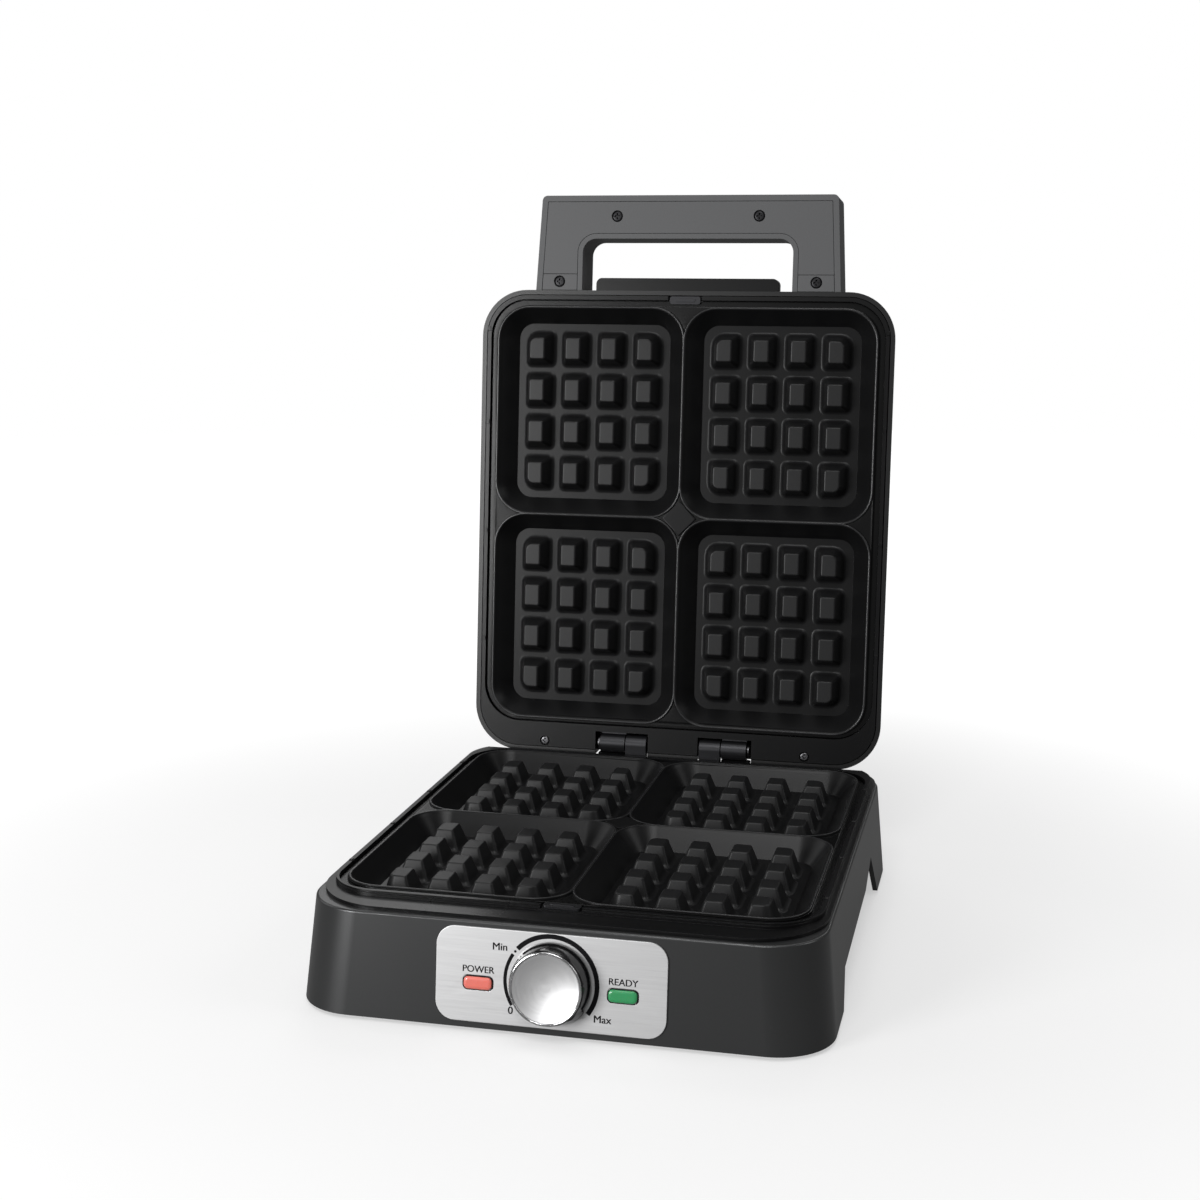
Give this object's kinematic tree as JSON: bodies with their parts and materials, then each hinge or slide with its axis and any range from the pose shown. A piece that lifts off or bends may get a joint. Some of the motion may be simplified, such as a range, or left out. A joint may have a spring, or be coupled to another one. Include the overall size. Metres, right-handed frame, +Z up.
{
  "type": "waffle maker",
  "caption": "Tabletop waffle maker with square cells, a hinged lid with a loop handle, and a front control panel with a thermostat dial and two indicator lights.",
  "frame": {"origin": "on the table, under the middle of the open machine's bounding box", "axes": "+X to the right seen from the front, along the hinge; +Y to the rear, towards the hinge; +Z up"},
  "size_m": [0.255, 0.357, 0.382],
  "materials": {
    "housing_grey": "satin dark metallic grey",
    "black_plastic": "satin black",
    "lid_black": "semi-gloss black",
    "handle_grey": "fine-textured grey",
    "gloss_black": "gloss black",
    "nonstick": "die-cast with a black non-stick coating",
    "element_steel": "heat-dulled sheath",
    "sheet_steel": "bright sheet",
    "black_steel": "black zinc",
    "screw_steel": "zinc plated",
    "dark_screw": "black oxide",
    "brushed_panel": "brushed, satin",
    "knob_chrome": "polished",
    "knob_face": "spun",
    "red_lens": "tinted, frosted",
    "green_lens": "tinted, frosted",
    "lamp_glass": "clear",
    "ceramic_white": "unglazed",
    "wire_cover": "silicone",
    "fuse_metal": "plain",
    "foot_rubber": "matt"
  },
  "bodies": {
    "base": {"base_housing": "housing_grey", "base_bottom_cover": "black_plastic", "base_screws": "screw_steel", "front_feet": "foot_rubber", "rear_feet": "foot_rubber", "base_frame": "black_plastic", "lower_plate": "nonstick", "lower_heating_element": "element_steel", "lower_reflector": "sheet_steel", "lower_element_clamps": "sheet_steel", "lower_plate_clip": "black_steel", "control_panel": "brushed_panel", "power_light_lens": "red_lens", "ready_light_lens": "green_lens", "lamp_holders": "black_plastic", "indicator_lamps": "lamp_glass", "thermostat_body": "ceramic_white", "thermostat_bracket": "sheet_steel", "terminal_block": "ceramic_white", "base_wiring": "wire_cover", "thermal_fuse": "fuse_metal", "cord_gland": "black_plastic", "base_hinge_left": "black_steel", "base_hinge_right": "black_steel", "hinge_pins": "screw_steel", "base_hinge_screws": "screw_steel"},
    "dial": {"thermostat_shaft": "screw_steel", "knob_body": "gloss_black", "knob_ring": "knob_chrome", "knob_cap": "knob_face"},
    "lid": {"lid_cover": "lid_black", "lid_frame": "black_plastic", "upper_plate": "nonstick", "upper_heating_element": "element_steel", "upper_reflector": "sheet_steel", "upper_element_clamps": "sheet_steel", "upper_plate_clip": "black_steel", "lid_hinge_left": "black_steel", "lid_hinge_right": "black_steel", "lid_hinge_screws": "screw_steel", "lid_screws": "screw_steel", "lid_front_bar": "black_plastic", "handle_cover": "handle_grey", "handle_base": "handle_grey", "handle_leg_cap_left": "handle_grey", "handle_leg_cap_right": "handle_grey", "handle_screws": "dark_screw", "handle_bolts": "screw_steel"}
  },
  "joints": [
    {"name": "lid_hinge", "type": "hinge", "parent": "base", "child": "lid", "pos_m": [0, 0.11978, 0.0605], "axis": [1, 0, 0], "range_deg": [0, 96]},
    {"name": "thermostat_dial", "type": "hinge", "parent": "base", "child": "dial", "pos_m": [0.0004, -0.16498, 0.02621], "axis": [0, 0.9932, -0.1164], "range_deg": [-258, 0]}
  ]
}
